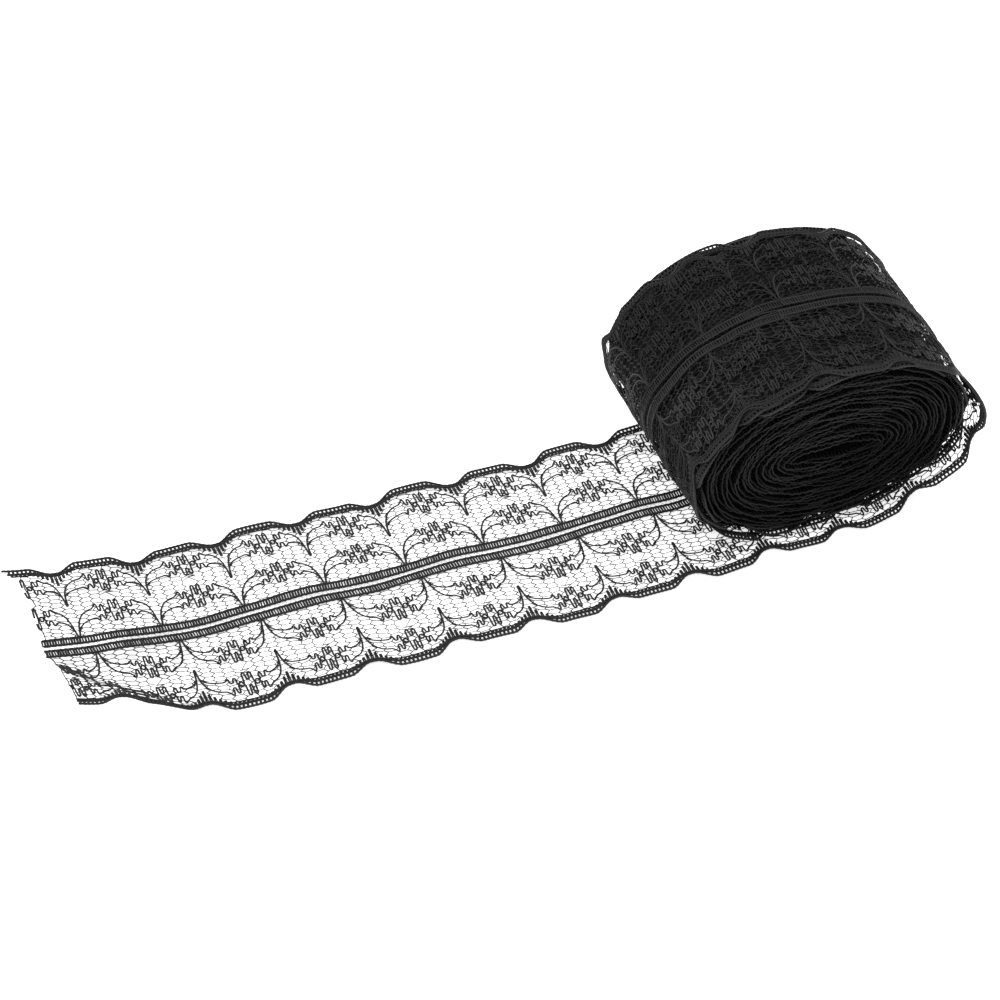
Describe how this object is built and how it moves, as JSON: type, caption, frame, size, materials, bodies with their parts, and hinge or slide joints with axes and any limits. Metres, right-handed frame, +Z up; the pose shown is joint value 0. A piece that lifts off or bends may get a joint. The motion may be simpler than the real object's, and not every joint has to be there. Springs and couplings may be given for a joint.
{
  "type": "roll of lace trim",
  "caption": "Oval roll of black scalloped lace trim, wound on itself without a core, with its loose end laid out flat and curling up at the cut.",
  "frame": {"origin": "middle of the whole footprint, on the table", "axes": "+X along the strip from its cut end to the roll, +Y across the strip away from the viewer, +Z up"},
  "size_m": [0.178, 0.0522, 0.0366],
  "materials": {
    "wound_lace": "black nylon lace in close turns, matt with a faint thread sheen",
    "lace": "open black nylon lace, matt with a faint thread sheen"
  },
  "bodies": {
    "root": {"lace_roll": "wound_lace", "loose_end": "lace"}
  },
  "joints": []
}
